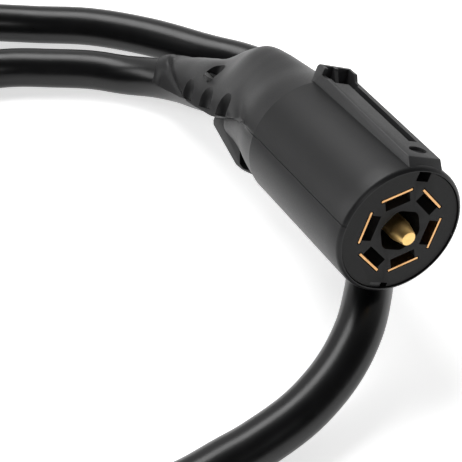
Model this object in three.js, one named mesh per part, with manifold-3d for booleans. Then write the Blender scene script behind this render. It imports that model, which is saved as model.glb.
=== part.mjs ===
// Trailer wiring connector: a seven-way blade plug on its heavy cord, lying on a table. Millimetres, +Z up.
// The plug is drawn in its own frame first: X to the right and Y up as the mating face is looked at,
// Z towards the nose with the face at Z = 0. It is then turned into the posture in which it lies.
import * as THREE from "three";
import { mergeVertices } from "three/addons/utils/BufferGeometryUtils.js";
import Module from "manifold-3d";

const wasm = await Module();
wasm.setup();

// ---- driving dimensions ----
const GAP = 0.3; // between pieces that touch, are cut apart or turn
const CUT = 1; // how far a cutter runs past what it cuts

const BODY_R = 22.5;
const BARREL_LEN = 60; // round part of the body
const FRONT_CHAMFER = 1.2;
const FRONT_WALL = 1.4; // shell wall around the carrier
const WALL = 2.8; // shell wall elsewhere

const CARRIER_LEN = 24;
const CARRIER_SET_BACK = 0.5;
const CARRIER_R = BODY_R - FRONT_WALL - GAP;
const CONTACTS = 6;
const LEAF_APOTHEM = 13.8; // middle of the leaf's thickness
const LEAF_T = 0.7;
const LEAF_W = 10.9;
const LEAF_LEN = 19;
const LEAF_SIDE_GAP = 0.35;
const SLOT_INNER = 9.7; // blade slot's inner edge, from the middle
const SLOT_W = 8.8;
const RECESS_APOTHEM = 6.9;
const RECESS_DEPTH = 13;
const RECESS_CORNER = 3.6;

const PIN_R = 3.65;
const PIN_TIP_R = 2.35;
const PIN_CONE_START = -0.5;
const PIN_TIP = 4.5;

const NOTCH_W = 4.6; // key notch at the top of the carrier
const NOTCH_FLOOR = 17.5;
const NOTCH_DEPTH = 7;
const WINDOW_LEFT = -2.9; // snap window at the bottom of the carrier
const WINDOW_RIGHT = 3.9;
const WINDOW_TOP = -19.1;
const TAB_W = 4.4;

const RAIL_W = 13;
const RAIL_FRONT_H = 24.2; // rail top above the plug's middle
const RAIL_REAR_H = 25.7;
const RAIL_STOP_H = 27.8;
const RAIL_END = 62;
const RAIL_WALL = 1.5;
const RAIL_SLOT_W = 3.4;
const RAIL_SLOT_X = 2.4;
const RAIL_SLOT_FRONT = 13.8;
const POCKET_FLOOR = 21.2;

const TERMINAL_LEN = 10;
const TERMINAL_W = 7;
const TERMINAL_T = 6.4;
const TERMINAL_RADIUS = 12.6; // wire axis, from the middle
const SCREW_R = 1.2;
const SCREW_HEAD_R = 2.3;
const SCREW_HEAD_H = 1.4;

const CORD_D = 16;
const CORD_R = CORD_D / 2;
const WIRE_R = 1.9;
const WIRE_PITCH = 4.6; // between neighbouring wires in the cord
const CORD_START = -93; // where the jacket ends inside the plug
const COLLAR_END = -96; // rear end of the lower shell's collar around the cord
const FOOT_END = -108.5;
const TONGUE_END = -163;
const TONGUE_TIP = 13; // length of its rounded end
const TONGUE_TIP_W = 23.2;
const TONGUE_POWER = 2.5; // 2 is an oval section, more is squarer

const WELL_X = 10.6; // clamp screw wells beside the cord
const WELL_Z = -114;
const WELL_R = 3.75;
const WELL_FLOOR = -4.6;
const EAR_INNER = 8.9; // the lower shell's ears that take the clamp screws
const EAR_OUTER = 12.7;
const EAR_END = -119.5;
const EAR_RISE = 2; // above the parting line
const EAR_DROP = 0.6; // below it

const GROOVES = 3;
const GROOVE_FIRST_Z = -91.5;
const GROOVE_PITCH = 16.4;
const GROOVE_FIRST_TOP = 0.3;
const GROOVE_DROP = 4.5;
const GROOVE_R = 5.2;
const GROOVE_DEPTH = 2.2;
const GROOVE_LEN = 8.2;
const GROOVE_LEAN_DEG = 18; // square to the tongue, which slopes down

const FOOT_W = 15;

const EXIT_Z = -149; // where the cord starts to bend away under the tongue
const EXIT_LIFT = 14.3; // the cord's middle above the table there
const CORD_STEPS = 64;
const COIL_R = 80; // mean radius of the two turns of spare cord
const COIL_X = -170.9; // coil's middle, from the exit
const COIL_Y = -25.4;
const COIL_LIFT = CORD_D; // the coil lies on the cord that goes round under it
const BARE_WIRE_LEN = 36;

const BLEND = 7; // higher is a tighter crease between dome and tongue

// how the plug lies
const HEADING_DEG = 24.7; // nose turned from -Y towards +X
const NOSE_UP_DEG = 8.2;
const ROLL_DEG = 26.9; // rail leaning towards +X

// ---- colours ----
const BLACK_PLASTIC = 0x1b1c1e;
const CARRIER_PLASTIC = 0x151618;
const COPPER = 0xc98a55;
const BRASS = 0xcfa45a;
const STEEL = 0xb4b7ba;
const JACKET = 0x101113;
const WIRE_COLOURS = {
  white: 0xe8e6df,
  brown: 0x6b4226,
  green: 0x2f7d3b,
  yellow: 0xe3c22b,
  red: 0xb52a25,
  blue: 0x2a4fa0,
  black: 0x222222,
};

// The cord's middle on the table as [x, y, height] from the exit: a loop round to the nose, which it carries,
// then back beside the plug and up onto the coil.
const CORD_ROUTE = [
  [-10.6, 8.8, 10.5],
  [-22.7, 14.6, 8],
  [-36.6, 18.9, 8],
  [-52.4, 21.1, 8],
  [-73.5, 22.6, 8],
  [-102.4, 16.7, 8],
  [-130.4, -0.3, 8],
  [-154.4, -28.3, 8],
  [-172.4, -65.3, 8],
  [-176.4, -105.3, 8],
  [-167.4, -142.3, 8],
  [-147.4, -172.3, 8],
  [-117.4, -193.3, 8],
  [-82.4, -202.3, 8],
  [-54.4, -202.3, 8],
  [-4.4, -188.3, 8],
  [13.6, -178.1, 8.3],
  [22.1, -173.3, 9],
  [37.4, -163.3, 12.2],
  [49.6, -150.5, 16],
  [57.2, -137.8, 20],
  [61.7, -123.2, 21.5],
  [64.4, -107.8, 19],
  [67.1, -90.3, 17],
  [69.1, -65.3, 13],
  [66.6, -40.3, 10],
  [58.6, -15.3, 8],
  [43.6, 6.7, 8],
  [25.6, 19.7, 8],
  [12.1, 26.2, 8],
  [-13.1, 39.7, 8],
  [-39, 49, 8],
  [-65.1, 52.7, 8],
  [-88.4, 53.2, 11],
  [-100.4, 56, 14.3],
  [-111.9, 58.6, 18.6],
];

// The spare cord's end, peeling off inwards from the coil: degrees round the coil, and radius.
const COIL_END = [
  [30, 72],
  [66, 64],
  [102, 44],
];

const rad = THREE.MathUtils.degToRad;

// ---- solids ----
function solidOf(geometry) {
  const bare = geometry.index ? geometry.toNonIndexed() : geometry.clone();
  bare.deleteAttribute("normal");
  bare.deleteAttribute("uv");
  const merged = mergeVertices(bare, 1e-4);
  return new wasm.Manifold(
    new wasm.Mesh({
      numProp: 3,
      vertProperties: new Float32Array(merged.attributes.position.array),
      triVerts: new Uint32Array(merged.index.array),
    }),
  );
}

function geometryOf(solid) {
  const mesh = solid.getMesh();
  const geometry = new THREE.BufferGeometry();
  geometry.setAttribute("position", new THREE.BufferAttribute(new Float32Array(mesh.vertProperties), 3));
  geometry.setIndex(new THREE.BufferAttribute(new Uint32Array(mesh.triVerts), 1));
  return geometry;
}

function meshOf(name, shape, colour, metalness = 0, roughness = 0.6) {
  const geometry = shape.isBufferGeometry ? shape : geometryOf(shape);
  const flat = geometry.index ? geometry.toNonIndexed() : geometry;
  flat.computeVertexNormals();
  const mesh = new THREE.Mesh(flat, new THREE.MeshStandardMaterial({ color: colour, metalness, roughness }));
  mesh.name = name;
  return mesh;
}

function box(x0, x1, y0, y1, z0, z1) {
  const geometry = new THREE.BoxGeometry(x1 - x0, y1 - y0, z1 - z0);
  geometry.translate((x0 + x1) / 2, (y0 + y1) / 2, (z0 + z1) / 2);
  return geometry;
}

// A cylinder along Z from z0 to z1.
function drum(radius, z0, z1, sides = 48, x = 0, y = 0, topRadius = radius) {
  const geometry = new THREE.CylinderGeometry(topRadius, radius, z1 - z0, sides);
  geometry.rotateX(Math.PI / 2);
  geometry.translate(x, y, (z0 + z1) / 2);
  return geometry;
}

// A cylinder along Y from y0 to y1.
function post(radius, y0, y1, x, z, sides = 20) {
  const geometry = new THREE.CylinderGeometry(radius, radius, y1 - y0, sides);
  geometry.translate(x, (y0 + y1) / 2, z);
  return geometry;
}

// A solid turned about Z from [radius, z] points that start and end on the axis, rear end first.
function turned(points, sides = 36) {
  const profile = points.map(([r, z]) => new THREE.Vector2(r, z));
  const geometry = new THREE.LatheGeometry(profile, sides);
  geometry.rotateX(Math.PI / 2);
  return geometry;
}

// A side outline of [z, y] points, given thickness across X from x0 to x1.
function sideCut(points, x0, x1) {
  const shape = new THREE.Shape(points.map(([z, y]) => new THREE.Vector2(z, y)));
  const geometry = new THREE.ExtrudeGeometry(shape, { depth: x1 - x0, bevelEnabled: false });
  geometry.rotateY(-Math.PI / 2);
  geometry.translate(x1, 0, 0);
  return geometry;
}

// An outline in XY run along Z from z0 to z1.
function frontCut(shape, z0, z1) {
  const geometry = new THREE.ExtrudeGeometry(shape, { depth: z1 - z0, bevelEnabled: false, curveSegments: 6 });
  geometry.translate(0, 0, z0);
  return geometry;
}

function joined(first, ...others) {
  return others.reduce((sum, one) => sum.add(solidOf(one)), solidOf(first));
}

// A smooth value at z through hand-set [z, value] points that run from the nose backwards.
function along(points, z) {
  const last = points.length - 1;
  if (z >= points[0][0]) return points[0][1];
  if (z <= points[last][0]) return points[last][1];
  const i = points.findIndex(([at], k) => k < last && z <= at && z >= points[k + 1][0]);
  const slope = (k) => {
    const a = points[Math.max(k - 1, 0)];
    const b = points[Math.min(k + 1, last)];
    return k === 0 || k === last ? 0 : (b[1] - a[1]) / (b[0] - a[0]);
  };
  const [z0, v0] = points[i];
  const [z1, v1] = points[i + 1];
  const d = z1 - z0;
  const t = (z - z0) / d;
  const m0 = i === 0 ? (v1 - v0) / d : slope(i);
  const m1 = i + 1 === last ? (v1 - v0) / d : slope(i + 1);
  return (
    (2 * t ** 3 - 3 * t ** 2 + 1) * v0 +
    (t ** 3 - 2 * t ** 2 + t) * d * m0 +
    (-2 * t ** 3 + 3 * t ** 2) * v1 +
    (t ** 3 - t ** 2) * d * m1
  );
}

// A skin through sections square to Z; reach(z, c, n) is the distance from (0, middle(z)) towards (c, n).
function loft(stations, middle, reach, sides = 56) {
  const positions = [];
  const ring = (z) =>
    Array.from({ length: sides }, (_, k) => {
      const angle = (2 * Math.PI * k) / sides;
      const c = Math.cos(angle);
      const n = Math.sin(angle);
      const r = reach(z, c, n);
      return new THREE.Vector3(r * c, middle(z) + r * n, z);
    });
  const rings = stations.map(ring);
  const face = (a, b, c) => positions.push(...a.toArray(), ...b.toArray(), ...c.toArray());
  for (let i = 0; i + 1 < rings.length; i += 1) {
    for (let k = 0; k < sides; k += 1) {
      const next = (k + 1) % sides;
      face(rings[i][k], rings[i + 1][k], rings[i + 1][next]);
      face(rings[i][k], rings[i + 1][next], rings[i][next]);
    }
  }
  const first = rings[0];
  const last = rings[rings.length - 1];
  const middleOf = (r) => r.reduce((sum, p) => sum.add(p), new THREE.Vector3()).divideScalar(sides);
  for (let k = 0; k < sides; k += 1) {
    const next = (k + 1) % sides;
    face(middleOf(first), first[k], first[next]);
    face(middleOf(last), last[next], last[k]);
  }
  const geometry = new THREE.BufferGeometry();
  geometry.setAttribute("position", new THREE.Float32BufferAttribute(positions, 3));
  return geometry;
}

function tube(points, radius, sides, steps) {
  const path = new THREE.CatmullRomCurve3(points, false, "centripetal");
  const section = new THREE.Shape();
  for (let k = 0; k < sides; k += 1) {
    const angle = (2 * Math.PI * k) / sides;
    const move = k === 0 ? "moveTo" : "lineTo";
    section[move](radius * Math.cos(angle), radius * Math.sin(angle));
  }
  section.closePath();
  return new THREE.ExtrudeGeometry(section, { steps, extrudePath: path, bevelEnabled: false });
}

// ---- the lines that the rear of the plug follows ----
// middle of the cord as it leaves the plug
const CORD_LINE = [
  [-60, -1],
  [-80, -3.6],
  [-93, -6.2],
  [-107, -9.4],
  [-120, -12.3],
  [-137, -17.5],
  [EXIT_Z, -21],
];
// and how far it strays sideways before it leaves
const CORD_DRIFT = [
  [-120, 0],
  [-137, -0.2],
  [EXIT_Z, -1.2],
];
// line where the half shells meet
const PARTING = [
  [-56, 0],
  [-70, -1.3],
  [-79, -3.5],
  [-87.5, -7.2],
  [-95.5, -11],
  [-110, -14.6],
  [-128, -18.6],
  [-144, -22.6],
  [-150, -23.8],
  [TONGUE_END, -25],
];
// the domed rear end of the barrel
const DOME_TOP = [
  [-BARREL_LEN, BODY_R],
  [-68, 21.3],
  [-76, 20.1],
  [-84, 19.5],
  [-92, 18.8],
  [-101, 17],
  [-108, 12.8],
  [-113, 9.2],
  [-117, 5.4],
  [-121, 0.6],
  [-126, -8],
  [-130, -17],
  [TONGUE_END, -38],
];
const DOME_W = [
  [-BARREL_LEN, BODY_R],
  [-70, BODY_R - 1.5],
  [-79, 18.6],
  [-90, 16],
  [-102, 12.8],
  [-110, 9],
  [-117, 6],
  [-123, 4],
  [-130, 3],
];
// the flat-topped tongue that carries on over the cord
const TONGUE_TOP = [
  [-70, -4],
  [-90, 4.7],
  [-104, 3.8],
  [-114, 2.6],
  [-121, 1.6],
  [-128, -0.7],
  [-133, -2.8],
  [-138.5, -5.1],
  [-148, -9.4],
  [-150.5, -10.3],
  [-154, -11.3],
  [-159, -13.8],
  [TONGUE_END, -16.4],
];
const TONGUE_W = [
  [-70, 19.5],
  [-79, 18.4],
  [-88, 17],
  [-98, 15.6],
  [-106, 14.9],
  [-114, 14.4],
  [-122, 13.2],
  [-132, 11.9],
  [-145, 11],
  [-148.5, 10.6],
  [-152, 11.3],
  [-157, 11.5],
  [TONGUE_END, 11],
];
const TONGUE_START = -70;
const BELLY = [
  [-BARREL_LEN, -BODY_R],
  [-68, -BODY_R + 0.9],
  [-80, -20.4],
  [-92, -19.4],
  [COLLAR_END, -19.2],
];
const BELLY_W = [
  [-BARREL_LEN, BODY_R],
  [-70, 20.6],
  [-79, 18.2],
  [-86, 15.6],
  [-92, 12.9],
  [COLLAR_END, 11.2],
];
const SHELL_STATIONS = [
  0, -2, -30, -BARREL_LEN, -64, -70, -76, -82, -88, -93, -97, -101, -104, -107, -110, -113, -116, -119, -122,
  -125, -128, -132, -137, -142, -146, -148.5, -151, -154, -158, TONGUE_END,
];

// Distance from a section's middle to its edge in one direction, for an oval w by h.
function ovalReach(c, n, w, h, power) {
  return (Math.abs(c / w) ** power + Math.abs(n / h) ** power) ** (-1 / power);
}

// The outline at z in polar form: the dome and the tongue flow into each other above the parting line.
function outerReach(z, c, n, inset = 0) {
  const y = along(PARTING, z);
  const chamfer = z > -FRONT_CHAMFER ? FRONT_CHAMFER : 0;
  const off = inset + chamfer;
  const tongueW = along(TONGUE_W, z) - off;
  const domeW = along(DOME_W, z) - off;
  if (n < 0) return ovalReach(c, n, along(BELLY_W, z) - off, y - along(BELLY, z) - off, 2);
  const dome = ovalReach(c, n, domeW, Math.max(along(DOME_TOP, z) - y - off, 1), 2);
  if (z >= TONGUE_START) return dome;
  const tongue = ovalReach(c, n, tongueW, Math.max(along(TONGUE_TOP, z) - y - off, 1), TONGUE_POWER);
  return (dome ** BLEND + tongue ** BLEND) ** (1 / BLEND);
}

function partingY(z) {
  return along(PARTING, z);
}

// The table's height under the place where the cord starts to bend away.
function tableUnder(exit) {
  return exit.z - EXIT_LIFT;
}

function cordPoint(z) {
  return new THREE.Vector3(along(CORD_DRIFT, z), along(CORD_LINE, z), z);
}

function cordExit() {
  return cordPoint(EXIT_Z).applyMatrix4(posture());
}

// The cord's whole line in the plug's frame, from a place inside the plug to the coil.
function cordLine(start) {
  const exit = cordExit();
  const back = posture().invert();
  const inside = [start, -107, -120, -137, EXIT_Z].map(cordPoint);
  const outside = CORD_ROUTE.map(([x, y, lift]) => {
    const point = new THREE.Vector3(exit.x + x, exit.y + y, tableUnder(exit) + lift);
    return point.applyMatrix4(back);
  });
  return [...inside, ...outside];
}

// ---- shells ----
function rail() {
  const top = sideCut(
    [
      [-0.9, 16],
      [-0.9, 21.8],
      [-3.5, RAIL_FRONT_H],
      [-54.4, RAIL_REAR_H],
      [-56.2, RAIL_STOP_H],
      [-RAIL_END + 0.9, RAIL_STOP_H],
      [-RAIL_END, RAIL_STOP_H - 1],
      [-RAIL_END, 16],
    ],
    -RAIL_W / 2,
    RAIL_W / 2,
  );
  return solidOf(top);
}

function railCuts() {
  const half = RAIL_W / 2;
  const wall = RAIL_WALL;
  const rearPocket = [-RAIL_END + 2.2, -51.5];
  const slot = box(
    RAIL_SLOT_X - RAIL_SLOT_W / 2,
    RAIL_SLOT_X + RAIL_SLOT_W / 2,
    POCKET_FLOOR + 1.2,
    RAIL_STOP_H + CUT,
    rearPocket[0],
    -RAIL_SLOT_FRONT,
  );
  const leftPocket = box(-half + wall, -1.6, POCKET_FLOOR, RAIL_STOP_H + CUT, rearPocket[0], rearPocket[1]);
  const rightPocket = box(-0.1, half - wall, POCKET_FLOOR, RAIL_STOP_H + CUT, rearPocket[0], rearPocket[1] - 1.5);
  const ribSlope = sideCut(
    [
      [-RAIL_END + 3.4, RAIL_STOP_H + CUT],
      [-RAIL_END + 3.4, RAIL_STOP_H - 0.6],
      [rearPocket[1] - 4, POCKET_FLOOR + 2.6],
      [rearPocket[1], POCKET_FLOOR + 2.6],
      [rearPocket[1], RAIL_STOP_H + CUT],
    ],
    -half + wall,
    half - wall,
  );
  const sideNotch = box(-half - CUT, -half + wall + CUT, RAIL_REAR_H - 0.4, RAIL_STOP_H + CUT, -57.6, -54.2);
  const dimple = new THREE.CylinderGeometry(3.6, 3.2, 1.4, 24);
  dimple.scale(1, 1, 0.62);
  dimple.translate(0.5, RAIL_FRONT_H - 0.4, -8.3);
  return joined(slot, leftPocket, rightPocket, ribSlope, sideNotch, dimple);
}

function wells() {
  const cuts = [-1, 1].flatMap((side) => [
    post(WELL_R, WELL_FLOOR, BODY_R, side * WELL_X, WELL_Z, 28),
    post(SCREW_R + GAP, -30, WELL_FLOOR + CUT, side * WELL_X, WELL_Z),
  ]);
  return joined(...cuts);
}

// Grip scallops up the tongue's sides, each with a pointed top and a ledge under it.
function grooves() {
  const cuts = [];
  const profile = [
    [0, -GROOVE_LEN],
    [GROOVE_R, -GROOVE_LEN],
    [GROOVE_R, -4],
    [GROOVE_R - 0.8, -1.5],
    [GROOVE_R - GROOVE_DEPTH, 0],
    [0, 0],
  ].map(([r, y]) => new THREE.Vector2(r, y));
  for (let i = 0; i < GROOVES; i += 1) {
    const z = GROOVE_FIRST_Z - i * GROOVE_PITCH;
    const reach = along(TONGUE_W, z) + GROOVE_R - GROOVE_DEPTH;
    const top = GROOVE_FIRST_TOP - i * GROOVE_DROP;
    [-1, 1].forEach((side) => {
      const cutter = new THREE.LatheGeometry(profile, 32);
      cutter.rotateX(-rad(GROOVE_LEAN_DEG));
      cutter.translate(side * reach, top, z);
      cuts.push(cutter);
    });
  }
  return joined(...cuts);
}

function cavity() {
  const pocketEnd = -CARRIER_SET_BACK - CARRIER_LEN - GAP;
  const carrierBore = drum(BODY_R - FRONT_WALL, pocketEnd, CUT, 64);
  const inside = (z, c, n) => outerReach(Math.min(z, -FRONT_CHAMFER), c, n, WALL);
  const room = loft([-20, -40, -58, -64, -70, -76, -82, -86, -90], partingY, inside, 40);
  const channel = tube(cordLine(-84).slice(0, 8), CORD_R + 2 * GAP, 28, 26);
  return joined(carrierBore, room, channel);
}

function belowParting(lift) {
  const line = [CUT, -20, -56, -62, -70, -75, -79, -83, -87.5, -91, -95.5, -103, -110, -119, -128, -144, -164, -175];
  const points = line.map((z) => [z, along(PARTING, z) + lift]);
  return sideCut([...points, [-175, -60], [CUT, -60]], -40, 40);
}

// What lies past the tongue's rounded end, as seen from above.
function pastTip() {
  const shape = new THREE.Shape();
  const half = TONGUE_TIP_W / 2;
  const start = TONGUE_END + TONGUE_TIP;
  const corners = 12;
  shape.moveTo(half + 10, start);
  for (let k = 0; k <= corners; k += 1) {
    const angle = (k * Math.PI) / corners;
    shape.lineTo(half * Math.cos(angle), start - TONGUE_TIP * Math.sin(angle));
  }
  shape.lineTo(-half - 10, start);
  shape.lineTo(-half - 10, TONGUE_END - 10);
  shape.lineTo(half + 10, TONGUE_END - 10);
  shape.closePath();
  const geometry = new THREE.ExtrudeGeometry(shape, { depth: 80, bevelEnabled: false });
  geometry.rotateX(Math.PI / 2);
  geometry.translate(0, 30, 0);
  return solidOf(geometry);
}

// The cord passes out under the tongue, so the tongue's channel is open below the cord's middle.
function tongueMouth() {
  const line = [-97, -108, -116, -124, -132, -140, -149];
  const upper = line.map((z) => [z, along(CORD_LINE, z)]);
  const end = TONGUE_END - 10;
  return sideCut([...upper, [end, -26], [end, -60], [-97, -60]], -CORD_R - GAP, CORD_R + GAP);
}

function upperShell() {
  const outer = solidOf(loft(SHELL_STATIONS, partingY, outerReach));
  return outer
    .add(rail())
    .subtract(solidOf(belowParting(GAP / 2)))
    .subtract(cavity())
    .subtract(railCuts())
    .subtract(wells())
    .subtract(grooves())
    .subtract(solidOf(tongueMouth()))
    .subtract(ears(GAP))
    .subtract(pastTip());
}

function footRib() {
  const outline = [
    [-66, -16],
    [-70.5, -20.6],
    [-76.5, -22.4],
    [-80.5, -23.4],
    [-85, -23.8],
    [FOOT_END + 1.2, -19.2],
    [FOOT_END, -17.8],
    [FOOT_END, -13],
    [COLLAR_END, -10],
  ];
  return solidOf(sideCut(outline, -FOOT_W / 2, FOOT_W / 2));
}

function footPockets() {
  const depth = 3;
  const outline = [
    [-74.8, -20.9],
    [-79.4, -22.4],
    [-82.5, -22.2],
    [-86, -17.6],
  ];
  return joined(
    sideCut(outline, -FOOT_W / 2 - CUT, -FOOT_W / 2 + depth),
    sideCut(outline, FOOT_W / 2 - depth, FOOT_W / 2 + CUT),
  );
}

// The ears lie in pockets of the tongue, one each side of the cord; spare is the pockets' extra room.
function ears(spare = 0) {
  const line = [COLLAR_END + 4, -103, -110, EAR_END - spare];
  const upper = line.map((z) => [z, along(PARTING, z) + EAR_RISE + spare]);
  const lower = line.map((z) => [z, along(PARTING, z) - EAR_DROP - spare]).reverse();
  const outline = [...upper, ...lower];
  const inner = EAR_INNER - spare;
  const outer = EAR_OUTER + spare;
  return joined(sideCut(outline, -outer, -inner), sideCut(outline, inner, outer));
}

function snapTab() {
  return solidOf(box(WINDOW_LEFT + GAP, WINDOW_LEFT + GAP + TAB_W, -BODY_R + 0.8, WINDOW_TOP - GAP, -6.5, -1));
}

function lowerShell() {
  const stations = SHELL_STATIONS.filter((z) => z > COLLAR_END).concat(COLLAR_END);
  const outer = solidOf(loft(stations, partingY, outerReach));
  const pilot = [-1, 1].map((side) => post(SCREW_R + GAP, -40, 0, side * WELL_X, WELL_Z));
  return outer
    .add(footRib())
    .intersect(solidOf(belowParting(-GAP / 2)))
    .add(ears())
    .subtract(cavity())
    .subtract(footPockets())
    .subtract(joined(...pilot))
    .add(snapTab());
}

// ---- contacts ----
function roundedHexagon(apothem, corner) {
  const shape = new THREE.Shape();
  const cornerRadius = apothem / Math.cos(Math.PI / 6);
  const cut = corner * Math.tan(Math.PI / 6);
  for (let k = 0; k < 6; k += 1) {
    const angle = (k * Math.PI) / 3;
    const at = new THREE.Vector2(Math.cos(angle), Math.sin(angle)).multiplyScalar(cornerRadius);
    const before = new THREE.Vector2(Math.cos(angle - Math.PI / 3), Math.sin(angle - Math.PI / 3));
    const after = new THREE.Vector2(Math.cos(angle + Math.PI / 3), Math.sin(angle + Math.PI / 3));
    const start = before.multiplyScalar(cornerRadius).sub(at).normalize().multiplyScalar(cut).add(at);
    const end = after.multiplyScalar(cornerRadius).sub(at).normalize().multiplyScalar(cut).add(at);
    if (k === 0) shape.moveTo(start.x, start.y);
    else shape.lineTo(start.x, start.y);
    shape.quadraticCurveTo(at.x, at.y, end.x, end.y);
  }
  shape.closePath();
  return shape;
}

// The place of contact k, counted clockwise from the top right one.
function contactAngle(k) {
  return -rad(30 + 60 * k);
}

function carrier() {
  const front = -CARRIER_SET_BACK;
  const back = front - CARRIER_LEN;
  let solid = solidOf(drum(CARRIER_R, back, front, 64));
  const cuts = [frontCut(roundedHexagon(RECESS_APOTHEM, RECESS_CORNER), front - RECESS_DEPTH, front + CUT)];
  cuts.push(drum(PIN_R + GAP, back - CUT, front, 32));
  for (let k = 0; k < CONTACTS; k += 1) {
    const inner = LEAF_APOTHEM - LEAF_T / 2;
    const outer = LEAF_APOTHEM + LEAF_T / 2 + LEAF_SIDE_GAP;
    const slot = box(-SLOT_W / 2, SLOT_W / 2, SLOT_INNER, inner, back - CUT, front + CUT);
    const seat = box(-LEAF_W / 2 - GAP, LEAF_W / 2 + GAP, inner - GAP, outer, back - CUT, front + CUT);
    slot.rotateZ(contactAngle(k));
    seat.rotateZ(contactAngle(k));
    cuts.push(slot, seat);
  }
  cuts.push(box(-NOTCH_W / 2, NOTCH_W / 2, NOTCH_FLOOR, BODY_R, front - NOTCH_DEPTH, front + CUT));
  cuts.push(box(WINDOW_LEFT, WINDOW_RIGHT, -BODY_R, WINDOW_TOP, front - NOTCH_DEPTH, front + CUT));
  solid = solid.subtract(joined(...cuts));
  return solid;
}

function leaf(k) {
  const front = -CARRIER_SET_BACK;
  const shape = box(
    -LEAF_W / 2,
    LEAF_W / 2,
    LEAF_APOTHEM - LEAF_T / 2,
    LEAF_APOTHEM + LEAF_T / 2,
    front - LEAF_LEN,
    front,
  );
  shape.rotateZ(contactAngle(k));
  return shape;
}

function centrePin() {
  return turned([
    [0, -CARRIER_SET_BACK - CARRIER_LEN],
    [PIN_R, -CARRIER_SET_BACK - CARRIER_LEN],
    [PIN_R, PIN_CONE_START],
    [PIN_TIP_R, PIN_TIP],
    [0, PIN_TIP],
  ]);
}

const TERMINAL_FRONT = -CARRIER_SET_BACK - CARRIER_LEN - GAP;

// A box terminal with its wire way along Z and its screw way from outside; the middle one stands at radius 0.
function terminal(radius, angle) {
  const back = TERMINAL_FRONT - TERMINAL_LEN;
  const block = box(
    -TERMINAL_W / 2,
    TERMINAL_W / 2,
    radius - TERMINAL_T / 2,
    radius + TERMINAL_T / 2,
    back,
    TERMINAL_FRONT,
  );
  const wireWay = drum(WIRE_R + GAP, back - CUT, TERMINAL_FRONT - 1.2, 20, 0, radius);
  const screwWay = post(SCREW_R + GAP, radius, radius + TERMINAL_T, 0, (back + TERMINAL_FRONT) / 2, 16);
  const solid = solidOf(block).subtract(joined(wireWay, screwWay));
  const geometry = geometryOf(solid);
  geometry.rotateZ(angle);
  return geometry;
}

function terminalScrew(radius, angle) {
  const middle = TERMINAL_FRONT - TERMINAL_LEN / 2;
  const seat = radius + TERMINAL_T / 2 + GAP;
  const tip = radius + WIRE_R + GAP;
  const shaft = post(SCREW_R, tip, seat + 0.2, 0, middle, 16);
  const head = post(SCREW_HEAD_R, seat, seat + SCREW_HEAD_H, 0, middle, 20);
  const slot = box(-SCREW_HEAD_R - CUT, SCREW_HEAD_R + CUT, seat + 0.7, seat + 3, middle - 0.4, middle + 0.4);
  const solid = joined(shaft, head).subtract(solidOf(slot));
  const geometry = geometryOf(solid);
  geometry.rotateZ(angle);
  return geometry;
}

// One wire from the cord to its terminal: it keeps its place around the cord's middle and spreads forwards.
function conductor(radius, angle) {
  const rest = radius > 0 ? WIRE_PITCH : 0;
  const slope = (along(CORD_LINE, CORD_START + 2) - along(CORD_LINE, CORD_START - 2)) / 4;
  const start = CORD_START + GAP - slope * rest * Math.cos(angle);
  const route = [
    [start, 0],
    [-84, 0],
    [-70, 0.25],
    [-58, 0.65],
    [-48, 0.95],
    [-41, 1],
    [TERMINAL_FRONT - 2, 1],
  ];
  const points = route.map(([z, spread]) => {
    const out = rest + (radius - rest) * spread;
    const y = along(CORD_LINE, z) * (1 - spread);
    return new THREE.Vector3(out * Math.sin(-angle), y + out * Math.cos(angle), z);
  });
  return tube(points, WIRE_R, 8, 14);
}

function clampScrew(side) {
  const tip = along(PARTING, WELL_Z) - EAR_DROP + 0.4;
  const seat = WELL_FLOOR + GAP;
  const shaft = post(SCREW_R, tip, seat + 0.2, side * WELL_X, WELL_Z, 16);
  const head = post(WELL_R - 0.7, seat, seat + 1.7, side * WELL_X, WELL_Z, 24);
  const bar = [side * WELL_X - 0.4, side * WELL_X + 0.4];
  const slot = box(bar[0], bar[1], seat + 0.9, seat + 3, WELL_Z - WELL_R, WELL_Z + WELL_R);
  return joined(shaft, head).subtract(solidOf(slot));
}

// ---- assembly ----
function plug() {
  const group = new THREE.Group();
  const names = Object.keys(WIRE_COLOURS);
  group.add(meshOf("upper_shell", upperShell(), BLACK_PLASTIC));
  group.add(meshOf("lower_shell", lowerShell(), BLACK_PLASTIC));
  group.add(meshOf("contact_carrier", carrier(), CARRIER_PLASTIC));
  group.add(meshOf("centre_pin", centrePin(), BRASS, 0.9, 0.3));
  for (let k = 0; k < CONTACTS; k += 1) {
    const n = k + 1;
    const angle = contactAngle(k);
    group.add(meshOf(`contact_leaf_${n}`, leaf(k), COPPER, 0.9, 0.35));
    group.add(meshOf(`terminal_${n}`, terminal(TERMINAL_RADIUS, angle), BRASS, 0.9, 0.35));
    group.add(meshOf(`terminal_screw_${n}`, terminalScrew(TERMINAL_RADIUS, angle), STEEL, 0.9, 0.35));
    group.add(meshOf(`conductor_${names[n]}`, conductor(TERMINAL_RADIUS, angle), WIRE_COLOURS[names[n]]));
  }
  group.add(meshOf("terminal_middle", terminal(0, 0), BRASS, 0.9, 0.35));
  group.add(meshOf("terminal_screw_middle", terminalScrew(0, 0), STEEL, 0.9, 0.35));
  group.add(meshOf("conductor_white", conductor(0, 0), WIRE_COLOURS.white));
  group.add(meshOf("clamp_screw_left", clampScrew(-1), STEEL, 0.9, 0.35));
  group.add(meshOf("clamp_screw_right", clampScrew(1), STEEL, 0.9, 0.35));
  return group;
}

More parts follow.
